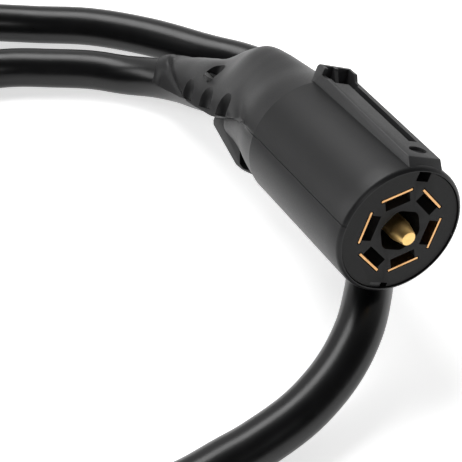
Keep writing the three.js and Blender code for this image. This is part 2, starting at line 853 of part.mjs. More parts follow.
// The plug's three directions as it lies: to the right and up on its face, and along its nose.
function posture() {
  const up = new THREE.Vector3(0, 0, 1);
  const level = new THREE.Vector3(Math.sin(rad(HEADING_DEG)), -Math.cos(rad(HEADING_DEG)), 0);
  const nose = level.multiplyScalar(Math.cos(rad(NOSE_UP_DEG))).addScaledVector(up, Math.sin(rad(NOSE_UP_DEG)));
  const side = new THREE.Vector3().crossVectors(up, nose).normalize();
  const crown = new THREE.Vector3().crossVectors(nose, side);
  const y = crown.clone().multiplyScalar(Math.cos(rad(ROLL_DEG))).addScaledVector(side, Math.sin(rad(ROLL_DEG)));
  const x = new THREE.Vector3().crossVectors(y, nose);
  return new THREE.Matrix4().makeBasis(x, y, nose);
}

// ---- the cord ----
function cordTube() {
  return tube(cordLine(CORD_START), CORD_R, 12, CORD_STEPS);
}

// The end of the spare cord, inside the coil.
function coilEnd(middle) {
  return COIL_END.map(([degrees, radius]) => {
    const angle = rad(degrees);
    return new THREE.Vector3(radius * Math.cos(angle), radius * Math.sin(angle), CORD_R).add(middle);
  });
}

function cordCoil(middle) {
  const inner = COIL_R - CORD_D;
  const outer = COIL_R + CORD_D;
  const edge = CORD_R * 0.6;
  const profile = [
    [inner + edge, 0],
    [outer - edge, 0],
    [outer, edge],
    [outer, CORD_D - edge],
    [outer - edge, CORD_D],
    [inner + edge, CORD_D],
    [inner, CORD_D - edge],
    [inner, edge],
    [inner + edge, 0],
  ].map(([r, z]) => new THREE.Vector2(r, z));
  const ring = new THREE.LatheGeometry(profile, 40);
  ring.rotateX(Math.PI / 2);
  ring.translate(middle.x, middle.y, middle.z);
  return joined(ring, tube(coilEnd(middle), CORD_R - 0.1, 12, 10));
}

// The bared wires fan out from the end of the spare cord, one in the middle and six round it.
function bareWire(middle, k) {
  const line = new THREE.CatmullRomCurve3(coilEnd(middle), false, "centripetal");
  const ahead = line.getTangent(1);
  const side = new THREE.Vector3(-ahead.y, ahead.x, 0);
  const angle = (k * Math.PI) / 3;
  const out = k === 0 ? 0 : WIRE_PITCH;
  const points = [0, 1, 2].map((step) => {
    const point = line.getPoint(1).addScaledVector(ahead, 2 * GAP + (step * BARE_WIRE_LEN) / 2);
    point.addScaledVector(side, out * Math.cos(angle) * (1 + 0.3 * step));
    point.z += out * Math.sin(angle) * (1 + 0.1 * step);
    return point;
  });
  return tube(points, WIRE_R, 8, 6);
}

// ---- the whole, about the middle of the plug's own bounding box ----
const lying = plug();
lying.applyMatrix4(posture());
lying.updateMatrixWorld(true);

const cordMesh = meshOf("cord_tube", cordTube(), JACKET);
cordMesh.applyMatrix4(posture());

const exit = cordExit();
const coilMiddle = new THREE.Vector3(exit.x + COIL_X, exit.y + COIL_Y, tableUnder(exit) + COIL_LIFT);
const spare = new THREE.Group();
spare.add(meshOf("cord_coil", cordCoil(coilMiddle), JACKET));
Object.entries(WIRE_COLOURS).forEach(([name, colour], k) => {
  spare.add(meshOf(`bare_wire_${name}`, bareWire(coilMiddle, k), colour));
});

const middle = new THREE.Box3().setFromObject(lying, true).getCenter(new THREE.Vector3());
const connector = new THREE.Group();
connector.name = "trailer_wiring_connector";
connector.add(lying, cordMesh, spare);
connector.position.copy(middle.negate());
connector.updateMatrixWorld(true);
export default connector;
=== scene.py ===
import math

import bmesh
import bpy
from mathutils import Matrix, Vector


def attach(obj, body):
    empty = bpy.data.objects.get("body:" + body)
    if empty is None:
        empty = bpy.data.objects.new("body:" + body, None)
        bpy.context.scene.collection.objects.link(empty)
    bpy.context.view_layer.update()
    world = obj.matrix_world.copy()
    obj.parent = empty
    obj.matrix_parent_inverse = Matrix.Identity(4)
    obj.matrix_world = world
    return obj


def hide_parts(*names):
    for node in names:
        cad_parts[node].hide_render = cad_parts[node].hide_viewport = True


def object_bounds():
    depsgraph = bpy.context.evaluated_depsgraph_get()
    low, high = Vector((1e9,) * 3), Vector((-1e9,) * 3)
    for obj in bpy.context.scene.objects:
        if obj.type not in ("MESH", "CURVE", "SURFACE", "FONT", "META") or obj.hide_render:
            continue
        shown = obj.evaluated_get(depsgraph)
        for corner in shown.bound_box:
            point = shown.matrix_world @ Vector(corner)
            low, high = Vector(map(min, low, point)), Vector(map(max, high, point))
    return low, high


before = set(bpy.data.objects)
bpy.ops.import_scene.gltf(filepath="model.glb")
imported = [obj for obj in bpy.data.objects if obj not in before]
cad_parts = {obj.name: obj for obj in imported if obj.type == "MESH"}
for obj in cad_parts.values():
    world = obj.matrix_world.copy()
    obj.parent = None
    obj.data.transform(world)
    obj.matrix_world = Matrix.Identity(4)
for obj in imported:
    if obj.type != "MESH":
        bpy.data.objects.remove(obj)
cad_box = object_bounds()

# The plug is drawn in millimetres in its own frame: X right and Y up as its mating face is looked at, and
# Z along the nose, with the face at Z = 0. place() takes a point of it to where it lies, in metres.
MM = 0.001
BODY = "plug_and_cord"
WIRE_NAMES = ("white", "brown", "green", "yellow", "red", "blue", "black")
FACE = Vector((30.763, -66.423, 12.094)) * MM
HEADING = math.radians(24.7)
NOSE_UP = math.radians(8.2)
ROLL = math.radians(26.9)
TABLE = cad_box[0].z
BODY_R = 22.5
CORD_R = 8.0
POLE = 0.01  # radius at the middle of a turned solid


def posture():
    """The plug's X, Y and Z as columns: heading over the table, nose up, and rolled about the nose."""
    up = Vector((0, 0, 1))
    level = Vector((math.sin(HEADING), -math.cos(HEADING), 0))
    nose = level * math.cos(NOSE_UP) + up * math.sin(NOSE_UP)
    side = up.cross(nose).normalized()
    crown = nose.cross(side)
    y = crown * math.cos(ROLL) + side * math.sin(ROLL)
    x = y.cross(nose)
    return Matrix((x, y, nose)).transposed()


TURN = posture()


def place(point):
    return FACE + TURN @ (Vector(point) * MM)


# ---------------------------------------------------------------- camera
CAMERA_AT = Vector((-21.787, -349.563, 300.084)) * MM
CAMERA_DOWN = math.radians(45.14)
CAMERA_ROLL = math.radians(2.49)


def make_camera():
    elevation, roll = CAMERA_DOWN, CAMERA_ROLL
    right = Vector((1, 0, 0))
    down = Vector((0, -math.sin(elevation), -math.cos(elevation)))
    forward = Vector((0, math.cos(elevation), -math.sin(elevation)))
    cam_x = right * math.cos(roll) + down * math.sin(roll)
    cam_y = right * math.sin(roll) - down * math.cos(roll)
    data = bpy.data.cameras.new("camera")
    data.lens = 101.77
    data.sensor_width = 36
    data.clip_start = 0.01
    data.clip_end = 20
    camera = bpy.data.objects.new("camera", data)
    bpy.context.collection.objects.link(camera)
    turn = Matrix((cam_x, cam_y, -forward)).transposed().to_4x4()
    camera.matrix_world = Matrix.Translation(CAMERA_AT) @ turn
    bpy.context.scene.camera = camera


make_camera()


# ---------------------------------------------------------------- smooth values along the plug
def along(points, z):
    """A smooth value at z through (z, value) points that run from the nose backwards."""
    last = len(points) - 1
    if z >= points[0][0]:
        return points[0][1]
    if z <= points[last][0]:
        return points[last][1]
    i = next(k for k in range(last) if points[k + 1][0] <= z <= points[k][0])

    def slope(k):
        a, b = points[max(k - 1, 0)], points[min(k + 1, last)]
        return (b[1] - a[1]) / (b[0] - a[0])

    (z0, v0), (z1, v1) = points[i], points[i + 1]
    d = z1 - z0
    t = (z - z0) / d
    m0 = (v1 - v0) / d if i == 0 else slope(i)
    m1 = (v1 - v0) / d if i + 1 == last else slope(i + 1)
    return (
        (2 * t**3 - 3 * t**2 + 1) * v0
        + (t**3 - 2 * t**2 + t) * d * m0
        + (3 * t**2 - 2 * t**3) * v1
        + (t**3 - t**2) * d * m1
    )


BARREL_END = -56  # the halves part level up to here
CREASE = -60  # the dome starts here
TONGUE_END = -163
EXIT_Z = -149
COLLAR_END = -96
CORD_LINE = [
    (-60, -1), (-80, -3.6), (-93, -6.2), (-107, -9.4), (-120, -12.3), (-137, -17.5), (EXIT_Z, -21),
]
CORD_DRIFT = [(-120, 0), (-137, -0.2), (EXIT_Z, -1.2)]
PARTING = [
    (BARREL_END, 0), (-70, -1.3), (-79, -3.5), (-87.5, -7.2), (-95.5, -11), (-110, -14.6), (-128, -18.6),
    (-144, -22.6), (-150, -23.8), (TONGUE_END, -25),
]
DOME_TOP = [
    (CREASE, BODY_R), (-68, 21.3), (-76, 20.1), (-84, 19.5), (-92, 18.8), (-101, 17), (-108, 12.8),
    (-113, 9.2),
    (-117, 5.4), (-121, 0.6), (-126, -8), (-130, -17), (TONGUE_END, -38),
]
DOME_W = [
    (-60, BODY_R), (-70, BODY_R - 1.5), (-79, 18.6), (-90, 16), (-102, 12.8), (-110, 9), (-117, 6),
    (-123, 4), (-130, 3),
]
TONGUE_TOP = [
    (-70, -4), (-90, 4.7), (-104, 3.8), (-114, 2.6), (-121, 1.6), (-128, -0.7), (-133, -2.8),
    (-138.5, -5.1),
    (-148, -9.4), (-150.5, -10.3), (-154, -11.3), (-159, -13.8), (TONGUE_END, -16.4),
]
TONGUE_W = [
    (-70, 19.5), (-79, 18.4), (-88, 17), (-98, 15.6), (-106, 14.9), (-114, 14.4), (-122, 13.2),
    (-132, 11.9),
    (-145, 11), (-148.5, 10.6), (-152, 11.3), (-157, 11.5), (TONGUE_END, 11),
]
BELLY = [(-60, -BODY_R), (-68, -BODY_R + 0.9), (-80, -20.4), (-92, -19.4), (COLLAR_END, -19.2)]
BELLY_W = [(-60, BODY_R), (-70, 20.2), (-79, 16.6), (-86, 13.7), (-92, 11.9), (COLLAR_END, 11.2)]
TONGUE_POWER = 2.5  # 2 is an oval section, more is squarer
BLEND = 7  # higher is a tighter crease between dome and tongue
TONGUE_START = -70
VALLEY_TOP = -156  # where the slanting valley crosses the tongue's crest
VALLEY_SLANT = 32
VALLEY_DEPTH = 0.85
VALLEY_HALF = 1.7
BAND_RISE = 0.5  # the flared band behind the valley


def oval(c, n, w, h, power):
    return (abs(c / w) ** power + abs(n / h) ** power) ** (-1 / power)


def reach(z, c, n, off=0.0):
    """Distance from the middle of the section at z to its edge towards (c, n)."""
    y = along(PARTING, z)
    if n < 0:
        return oval(c, n, along(BELLY_W, z) - off, y - along(BELLY, z) - off, 2)
    dome = oval(c, n, along(DOME_W, z) - off, max(along(DOME_TOP, z) - y - off, 1), 2)
    if z >= TONGUE_START:
        return dome
    tongue = oval(c, n, along(TONGUE_W, z) - off, max(along(TONGUE_TOP, z) - y - off, 1), TONGUE_POWER)
    whole = (dome**BLEND + tongue**BLEND) ** (1 / BLEND)
    past = z - VALLEY_TOP - VALLEY_SLANT * (1 - n)
    band = BAND_RISE / (1 + math.exp(min(past * 2.5 + 4, 60)))
    return whole + band - VALLEY_DEPTH * math.exp(-((past / VALLEY_HALF) ** 2))


# ---------------------------------------------------------------- meshes
def solid(name, vertices, faces):
    mesh = bpy.data.meshes.new(name)
    mesh.from_pydata([tuple(v) for v in vertices], [], faces)
    mesh.update()
    obj = bpy.data.objects.new(name, mesh)
    bpy.context.collection.objects.link(obj)
    return obj


def outward(obj):
    """Merges doubles, such as a pole's, and turns every face outwards."""
    bm = bmesh.new()
    bm.from_mesh(obj.data)
    bmesh.ops.remove_doubles(bm, verts=bm.verts, dist=1e-5)
    bmesh.ops.recalc_face_normals(bm, faces=bm.faces)
    bm.to_mesh(obj.data)
    bm.free()
    return obj


def rings_to_solid(name, rings):
    """A closed solid from rings with the same number of points, capped at both ends."""
    count = len(rings[0])
    vertices = [v for ring in rings for v in ring]
    faces = []
    for i in range(len(rings) - 1):
        for k in range(count):
            n = (k + 1) % count
            faces.append((i * count + k, i * count + n, (i + 1) * count + n, (i + 1) * count + k))
    faces.append(tuple(range(count))[::-1])
    last = (len(rings) - 1) * count
    faces.append(tuple(last + k for k in range(count)))
    return outward(solid(name, vertices, faces))


def loft(name, stations, sides=144, off=0.0):
    """The outer body through sections at (z, inset) stations, all of it inside by off."""
    rings = []
    for z, inset in stations:
        ring = []
        for k in range(sides):
            angle = 2 * math.pi * (k + 0.5) / sides
            c, n = math.cos(angle), math.sin(angle)
            r = reach(z, c, n, off) - inset
            ring.append((r * c, along(PARTING, z) + r * n, z))
        rings.append(ring)
    return rings_to_solid(name, rings)


def prism(name, outline, x0, x1):
    """A side outline of (z, y) points, drawn out across X."""
    return rings_to_solid(name, [[(x, y, z) for z, y in outline] for x in (x0, x1)])


def block(name, x0, x1, y0, y1, z0, z1):
    return prism(name, [(z0, y0), (z1, y0), (z1, y1), (z0, y1)], x0, x1)


def turned(name, profile, sides=96, axis="z", at=(0, 0, 0)):
    """A solid turned from (radius, distance) points, along Z or Y."""
    rings = []
    for r, d in profile:
        ring = []
        for k in range(sides):
            angle = 2 * math.pi * k / sides
            a, b = r * math.cos(angle), r * math.sin(angle)
            point = (a, b, d) if axis == "z" else (a, d, -b)
            ring.append(Vector(at) + Vector(point))
        rings.append(ring)
    return rings_to_solid(name, rings)


def smooth_line(points, per=10):
    """Points along a centripetal curve through the given ones."""
    points = [Vector(p) for p in points]
    whole = [2 * points[0] - points[1]] + points + [2 * points[-1] - points[-2]]
    line = []
    for i in range(1, len(whole) - 2):
        p0, p1, p2, p3 = whole[i - 1 : i + 3]
        t1 = (p1 - p0).length ** 0.5
        t2 = t1 + (p2 - p1).length ** 0.5
        t3 = t2 + (p3 - p2).length ** 0.5
        for k in range(per):
            t = t1 + (t2 - t1) * k / per
            a1 = p0 * ((t1 - t) / t1) + p1 * (t / t1)
            a2 = p1 * ((t2 - t) / (t2 - t1)) + p2 * ((t - t1) / (t2 - t1))
            a3 = p2 * ((t3 - t) / (t3 - t2)) + p3 * ((t - t2) / (t3 - t2))
            b1 = a1 * ((t2 - t) / t2) + a2 * (t / t2)
            b2 = a2 * ((t3 - t) / (t3 - t1)) + a3 * ((t - t1) / (t3 - t1))
            line.append(b1 * ((t2 - t) / (t2 - t1)) + b2 * ((t - t1) / (t2 - t1)))
    line.append(points[-1])
    return line


def tube(name, line, radius, sides=40):
    """A round tube along a line of points."""
    rings = []
    tangent = (line[1] - line[0]).normalized()
    side = tangent.orthogonal().normalized()
    for i, p in enumerate(line):
        a = line[max(i - 1, 0)]
        b = line[min(i + 1, len(line) - 1)]
        tangent = (b - a).normalized()
        side = (side - tangent * side.dot(tangent)).normalized()
        other = tangent.cross(side)
        ring = []
        for k in range(sides):
            angle = 2 * math.pi * k / sides
            ring.append(p + (side * math.cos(angle) + other * math.sin(angle)) * radius)
        rings.append(ring)
    return rings_to_solid(name, rings)


def combine(obj, operation, others):
    for other in others:
        modifier = obj.modifiers.new("combine", "BOOLEAN")
        modifier.operation = operation
        modifier.solver = "MANIFOLD"
        modifier.object = other
    return bake(obj, others)


def cut(obj, *cutters):
    return combine(obj, "DIFFERENCE", cutters)


def join(obj, *others):
    return combine(obj, "UNION", others)


def rounded(obj, width, sharper_than):
    modifier = obj.modifiers.new("round", "BEVEL")
    modifier.width = width
    modifier.segments = 3
    modifier.limit_method = "ANGLE"
    modifier.angle_limit = math.radians(sharper_than)
    return bake(obj)


def bake(obj, spent=()):
    """Applies the modifiers and removes the objects that they used up."""
    graph = bpy.context.evaluated_depsgraph_get()
    mesh = bpy.data.meshes.new_from_object(obj.evaluated_get(graph))
    obj.modifiers.clear()
    obj.data = mesh
    for other in spent:
        bpy.data.objects.remove(other, do_unlink=True)
    return obj


def shade(obj, angle=32, crease=None):
    """Smooth shading with sharp edges by angle, and along the plug's own section at crease."""
    obj.data.shade_smooth()
    bm = bmesh.new()
    bm.from_mesh(obj.data)
    limit = math.radians(angle)
    for edge in bm.edges:
        edge.smooth = len(edge.link_faces) == 2 and edge.calc_face_angle(0) < limit
        if crease is not None and all(abs(v.co.z - crease) < 0.01 for v in edge.verts):
            edge.smooth = False
    bm.to_mesh(obj.data)
    bm.free()
    return obj


def to_table(obj):
    for vertex in obj.data.vertices:
        vertex.co = place(vertex.co)
    obj.data.update()
    return obj


def finish_piece(obj, material, slot, *nodes, angle=32, turn=True, crease=None):
    shade(obj, angle, crease)
    if turn:
        to_table(obj)
    obj.data.materials.clear()
    obj.data.materials.append(material)
    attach(obj, BODY)
    if nodes:
        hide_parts(*nodes)
    return obj


# ---------------------------------------------------------------- materials
class Nodes:
    """A short way to build one material's node tree on Object coordinates."""

    def __init__(self, name):
        self.material = bpy.data.materials.new(name)
        self.material.use_nodes = True
        self.tree = self.material.node_tree
        self.shader = self.tree.nodes["Principled BSDF"]
        self.coords = self.tree.nodes.new("ShaderNodeTexCoord")

    def link(self, a, b):
        self.tree.links.new(a, b)

    def noise(self, scale, detail=3.0, roughness=0.5, stretch=None):
        node = self.tree.nodes.new("ShaderNodeTexNoise")
        node.inputs["Scale"].default_value = scale
        node.inputs["Detail"].default_value = detail
        node.inputs["Roughness"].default_value = roughness
        source = self.coords.outputs["Object"]
        if stretch:
            mapping = self.tree.nodes.new("ShaderNodeMapping")
            mapping.inputs["Scale"].default_value = stretch
            self.link(source, mapping.inputs["Vector"])
            source = mapping.outputs["Vector"]
        self.link(source, node.inputs["Vector"])
        return node.outputs["Fac"]

    def ramp(self, fac, stops):
        node = self.tree.nodes.new("ShaderNodeValToRGB")
        elements = node.color_ramp.elements
        while len(elements) < len(stops):
            elements.new(0.5)
        for element, (at, colour) in zip(elements, stops):
            element.position = at
            element.color = (*colour, 1)
        self.link(fac, node.inputs["Fac"])
        return node.outputs["Color"]

    def span(self, fac, low, high, start=0.0, end=1.0):
        node = self.tree.nodes.new("ShaderNodeMapRange")
        node.inputs["From Min"].default_value = start
        node.inputs["From Max"].default_value = end
        node.inputs["To Min"].default_value = low
        node.inputs["To Max"].default_value = high
        self.link(fac, node.inputs["Value"])
        return node.outputs["Result"]

    def mix(self, fac, a, b):
        node = self.tree.nodes.new("ShaderNodeMix")
        node.data_type = "RGBA"
        self.link(fac, node.inputs["Factor"])
        colour_sockets = [s for s in node.inputs if s.type == "RGBA"]
        for socket, value in zip(colour_sockets, (a, b)):
            if isinstance(value, tuple):
                socket.default_value = (*value, 1)
            else:
                self.link(value, socket)
        return next(s for s in node.outputs if s.type == "RGBA")

    def bump(self, *heights):
        normal = None
        for fac, strength, distance in heights:
            node = self.tree.nodes.new("ShaderNodeBump")
            node.inputs["Strength"].default_value = strength
            node.inputs["Distance"].default_value = distance
            self.link(fac, node.inputs["Height"])
            if normal is not None:
                self.link(normal, node.inputs["Normal"])
            normal = node.outputs["Normal"]
        self.link(normal, self.shader.inputs["Normal"])

    def edge(self):
        """1 on outer edges, 0 elsewhere."""
        node = self.tree.nodes.new("ShaderNodeNewGeometry")
        return self.span(node.outputs["Pointiness"], 0.0, 1.0, 0.52, 0.60)


def moulded(name, dark, light, rough, grain=2400, grain_depth=0.00004, specular=0.32):
    """Grained black plastic with a painted highlight: its outer edges are paler."""
    n = Nodes(name)
    broad = n.noise(38, 4)
    fine = n.noise(grain, 2)
    colour = n.ramp(broad, [(0.3, dark), (0.7, light)])
    # painted highlight: outer edges lightened to stand in for the light they catch
    edge_highlight = tuple(min(1, v * 1.9 + 0.02) for v in light)
    colour = n.mix(n.span(n.edge(), 0, 0.45), colour, edge_highlight)
    n.link(colour, n.shader.inputs["Base Color"])
    n.link(n.span(fine, rough - 0.07, rough + 0.09), n.shader.inputs["Roughness"])
    n.bump((fine, 0.35, grain_depth), (n.noise(420, 3), 0.25, 0.00003))
    n.shader.inputs["Specular IOR Level"].default_value = specular
    return n.material


def metal(name, dark, light, rough, streak):
    """Metal with fine marks, stretched by streak, and an uneven tarnish."""
    n = Nodes(name)
    lines = n.noise(900, 3, 0.6, stretch=streak)
    tarnish = n.noise(260, 4, 0.6)
    n.link(n.ramp(tarnish, [(0.3, dark), (0.65, light)]), n.shader.inputs["Base Color"])
    n.link(n.span(lines, rough - 0.08, rough + 0.12), n.shader.inputs["Roughness"])
    n.shader.inputs["Metallic"].default_value = 1.0
    n.bump((lines, 0.3, 0.00001))
    return n.material


def insulation(name, colour):
    n = Nodes(name)
    broad = n.noise(120, 3)
    darker = tuple(v * 0.82 for v in colour)
    n.link(n.ramp(broad, [(0.3, darker), (0.7, colour)]), n.shader.inputs["Base Color"])
    n.link(n.span(n.noise(900, 2), 0.3, 0.42), n.shader.inputs["Roughness"])
    n.bump((n.noise(1500, 2), 0.15, 0.00003))
    return n.material


def jacket_material():
    n = Nodes("cord_jacket")
    broad = n.noise(30, 4)
    fine = n.noise(1600, 2)
    colour = n.ramp(broad, [(0.3, (0.0015, 0.0015, 0.0018)), (0.7, (0.003, 0.003, 0.0034))])
    n.link(colour, n.shader.inputs["Base Color"])
    n.link(n.span(n.noise(160, 4), 0.24, 0.36), n.shader.inputs["Roughness"])
    n.bump((fine, 0.3, 0.00003), (n.noise(90, 3), 0.25, 0.0001))
    n.shader.inputs["Specular IOR Level"].default_value = 0.36
    return n.material


SHELL = moulded("shell_plastic", (0.005, 0.005, 0.0055), (0.009, 0.009, 0.0095), 0.42)
# the rail is the shell's plastic with its own coarser grain, painted paler as a painted highlight for the
# light on its top
RAIL_WITH_PAINTED_LIGHT = moulded("rail_plastic_painted_highlight", (0.010, 0.010, 0.0105), (0.018, 0.018, 0.019), 0.5, 1500, 0.00009, 0.5)
CARRIER = moulded("carrier_plastic", (0.002, 0.002, 0.002), (0.005, 0.005, 0.005), 0.5, specular=0.16)
JACKET = jacket_material()
PIN_BRASS = metal("pin_brass", (0.80, 0.50, 0.17), (0.98, 0.68, 0.28), 0.36, (1, 1, 1))
COPPER = metal("leaf_copper", (0.62, 0.34, 0.14), (0.80, 0.47, 0.22), 0.34, (0.3, 0.3, 3))
BRASS = metal("terminal_brass", (0.55, 0.40, 0.18), (0.75, 0.57, 0.30), 0.34, (1, 1, 1))
DARK_STEEL = metal("dark_screw_steel", (0.05, 0.05, 0.05), (0.10, 0.10, 0.10), 0.45, (1, 1, 1))
STEEL = metal("screw_steel", (0.45, 0.45, 0.46), (0.66, 0.66, 0.67), 0.3, (1, 1, 1))
WIRE_COLOURS = (
    (0.78, 0.76, 0.70), (0.20, 0.09, 0.045), (0.05, 0.28, 0.09), (0.78, 0.58, 0.06), (0.50, 0.035, 0.03),
    (0.05, 0.13, 0.45), (0.02, 0.02, 0.02),
)
WIRE_MATERIALS = {
    name: insulation(f"wire_{name}", colour) for name, colour in zip(WIRE_NAMES, WIRE_COLOURS)
}


# the first start of a node's name that fits says its material
NODE_MATERIALS = (
    ("contact_leaf", COPPER), ("contact_carrier", CARRIER), ("centre_pin", PIN_BRASS),
    ("clamp_screw", DARK_STEEL), ("terminal_screw", STEEL), ("terminal", BRASS),
)


def paint_nodes():
    for name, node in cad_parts.items():
        if name.startswith(("conductor_", "bare_wire_")):
            material = WIRE_MATERIALS[name.split("_")[-1]]
        else:
            material = next((m for start, m in NODE_MATERIALS if name.startswith(start)), None)
        if material:
            node.data.materials.clear()
            node.data.materials.append(material)


paint_nodes()


# ---------------------------------------------------------------- the cord
# its middle on the table, from where it bends away under the tongue, as x, y and height in millimetres
ROUTE = [
    (-10.6, 8.8, 10.5), (-22.7, 14.6, 8), (-36.6, 18.9, 8), (-52.4, 21.1, 8), (-73.5, 22.6, 8),
    (-102.4, 16.7, 8), (-130.4, -0.3, 8), (-154.4, -28.3, 8), (-172.4, -65.3, 8), (-176.4, -105.3, 8),
    (-167.4, -142.3, 8), (-147.4, -172.3, 8), (-117.4, -193.3, 8), (-82.4, -202.3, 8), (-54.4, -202.3, 8),
    (-4.4, -188.3, 8), (13.6, -178.1, 8.3), (22.1, -173.3, 9), (37.4, -163.3, 12.2), (49.6, -150.5, 16),
    (57.2, -137.8, 20), (61.7, -123.2, 21.5), (64.4, -107.8, 19), (67.1, -90.3, 17), (69.1, -65.3, 13),
    (66.6, -40.3, 10), (58.6, -15.3, 8), (43.6, 6.7, 8), (25.6, 19.7, 8), (12.1, 26.2, 8),
    (-13.1, 39.7, 8), (-39, 49, 8), (-65.1, 52.7, 8), (-88.4, 53.2, 11), (-100.4, 56, 14.3),
    (-111.9, 58.6, 18.6), (-127.9, 61.2, 21.8), (-144, 62.4, 23.7),
]
# the coil's middle from the same place, and its two turns as degrees round it and radius
COIL_X, COIL_Y, COIL_LIFT = -170.9, -25.4, 24
COIL_STEPS = 56
COIL_TURNS = [
    (-84, 90.2), (-130, 88), (-350, 88), (-440, 72), (-750, 72), (-786, 64), (-822, 44),
]


INSIDE_TONGUE = (-128, -137, EXIT_Z)  # places on the cord inside the tongue
CORD_START = -93  # where the jacket ends inside the plug
CORD_EXIT = -137
CORD_CLEAR = 0.1  # under the cord, above the table


def cord_point(z):
    """The cord's middle inside the plug, as it lies."""
    return place((along(CORD_DRIFT, z), along(CORD_LINE, z), z))


def on_table(x, y, lift):
    """A place beside the one where the cord bends away, at a height above the table."""
    bend = cord_point(EXIT_Z)
    return Vector((bend.x + x * MM, bend.y + y * MM, TABLE + CORD_CLEAR * MM + lift * MM))


def cord_route():
    points = [cord_point(z) for z in INSIDE_TONGUE] + [on_table(*place_at) for place_at in ROUTE]
    middle = on_table(COIL_X, COIL_Y, COIL_LIFT)
    first, last = -COIL_TURNS[0][0], -COIL_TURNS[-1][0]
    for k in range(COIL_STEPS + 1):
        degrees = first + (last - first) * k / COIL_STEPS
        angle = math.radians(degrees)
        radius = along(COIL_TURNS, -degrees) * MM
        points.append(middle + Vector((math.cos(angle), math.sin(angle), 0)) * radius)
    return points


cord_line = smooth_line(cord_route(), 6)
cord = tube("cord", cord_line, CORD_R * MM)
finish_piece(cord, JACKET, "jacket", "cord_tube", "cord_coil", turn=False, angle=50)
cord_point(CORD_EXIT)

inner_line = smooth_line([cord_point(z) for z in (CORD_START, -107, -120, INSIDE_TONGUE[0])], 6)
finish_piece(tube("cord_inside", inner_line, CORD_R * MM, 32), JACKET, "jacket", turn=False, angle=50)


# ---------------------------------------------------------------- shells
WALL = 2.8
FRONT_WALL = 1.4  # around the carrier
CARRIER_DEEP = -24.8
PART_GAP = 0.12  # half the gap along the parting line
FAR = 60  # past everything
TONGUE_HALF = 11.6
TONGUE_TIP = 13

WELL_X = 10.6  # clamp screw wells beside the cord
WELL_Z = -114.6
WELL_R = 3.75
WELL_FLOOR = -4.6
SHANK_Z = -114
SHANK_R = 1.5

GROOVES = 3
GROOVE_FIRST = (-91.5, 0.3)  # z, and height of the top
GROOVE_PITCH = 16.4
GROOVE_DROP = 4.5
GROOVE_R = 5.2
GROOVE_DEPTH = 2.7
GROOVE_LEAN = math.radians(18)

RAIL_HALF = 6.5
RAIL_TOP = 32  # past the rail's top
RAIL_REAR = -59.8  # inside of the stop
RAIL_FLOOR = 20.4
RAIL_ROUND = 0.35

FOOT_HALF = 7.5
FOOT_POCKET_FROM = 4.5
FOOT_ROUND = 0.5


def stations(end):
    """Sections with a rounded front rim, then one a millimetre from the crease to the end."""
    front = [(0, 1.15), (-0.25, 0.75), (-0.6, 0.38), (-1.0, 0.12), (-1.5, 0.0), (-8, 0), (-30, 0), (-52, 0)]
    count = round(CREASE - end)
    return front + [(CREASE - k * (CREASE - end) / count, 0) for k in range(count + 1)]


def below_parting(lift):
    """Everything under the line along which the halves part, raised by lift."""
    line = [1, -20, -50, BARREL_END] + [BARREL_END - 3 * k for k in range(1, 40)]
    top = [(z, along(PARTING, z) + lift) for z in line]
    return prism("parting", top + [(line[-1], -FAR), (1, -FAR)], -FAR, FAR)


def channel():
    """The cord's way through the shells."""
    back = TURN.transposed()
    outside = [back @ (on_table(*place_at) - FACE) / MM for place_at in ROUTE[:3]]
    inside = [(along(CORD_DRIFT, z), along(CORD_LINE, z), z) for z in (-84, -107, -120, -137, EXIT_Z)]
    return tube("channel", smooth_line(inside + outside, 6), CORD_R + 0.5, 64)


def room():
    bore_r = BODY_R - FRONT_WALL
    bore = turned("bore", [(bore_r, CARRIER_DEEP), (bore_r, 2)], 144)
    inside = loft("inside", [(z, 0) for z in range(-20, -91, -2)], 96, WALL)
    return [bore, inside, channel()]


def tongue_mouth():
    half = CORD_R + 0.3
    line = (-97, -108, -116, -124, -132, -140, EXIT_Z)
    top = [(z, along(CORD_LINE, z)) for z in line]
    return prism("mouth", top + [(-173, -26), (-173, -FAR), (-97, -FAR)], -half, half)


def past_tip():
    """What lies past the tongue's rounded end."""
    corners, spare = 48, 10
    start = TONGUE_END + TONGUE_TIP
    side = TONGUE_HALF + spare
    outline = [(side, start)]
    for k in range(corners + 1):
        angle = k * math.pi / corners
        outline.append((TONGUE_HALF * math.cos(angle), start - TONGUE_TIP * math.sin(angle)))
    outline += [(-side, start), (-side, TONGUE_END - spare), (side, TONGUE_END - spare)]
    rings = [[(x, y, z) for x, z in outline] for y in (-FAR, 30)]
    return rings_to_solid("past_tip", rings)


def grooves():
    """Grip grooves with pointed tops on both sides of the tongue."""
    profile = [
        (POLE, -8.2), (GROOVE_R, -8.2), (GROOVE_R, -5.6), (4.95, -3.6), (4.4, -1.8), (3.6, -0.3), (2.6, 0.9),
        (POLE, 2.2),
    ]
    turn = Matrix.Rotation(-GROOVE_LEAN, 4, "X")
    cutters = []
    for i in range(GROOVES):
        z = GROOVE_FIRST[0] - GROOVE_PITCH * i
        top = GROOVE_FIRST[1] - GROOVE_DROP * i
        out = along(TONGUE_W, z) + GROOVE_R - GROOVE_DEPTH
        for side in (-1, 1):
            groove = turned("groove", profile, 72, "y")
            for v in groove.data.vertices:
                v.co = turn @ v.co + Vector((side * out, top, z))
            cutters.append(groove)
    return cutters


def wells():
    well = [(POLE, WELL_FLOOR), (WELL_R, WELL_FLOOR), (WELL_R, 30), (POLE, 30)]
    shank = [(POLE, -30), (SHANK_R, -30), (SHANK_R, -4), (POLE, -4)]
    cutters = []
    for side in (-1, 1):
        cutters.append(turned("well", well, 72, "y", (side * WELL_X, 0, WELL_Z)))
        cutters.append(turned("shank", shank, 32, "y", (side * WELL_X, 0, SHANK_Z)))
    return cutters


def upper_shell():
    shell = loft("shell_top", stations(TONGUE_END))
    return cut(shell, below_parting(PART_GAP), *room(), *wells(), *grooves(), tongue_mouth(), past_tip())


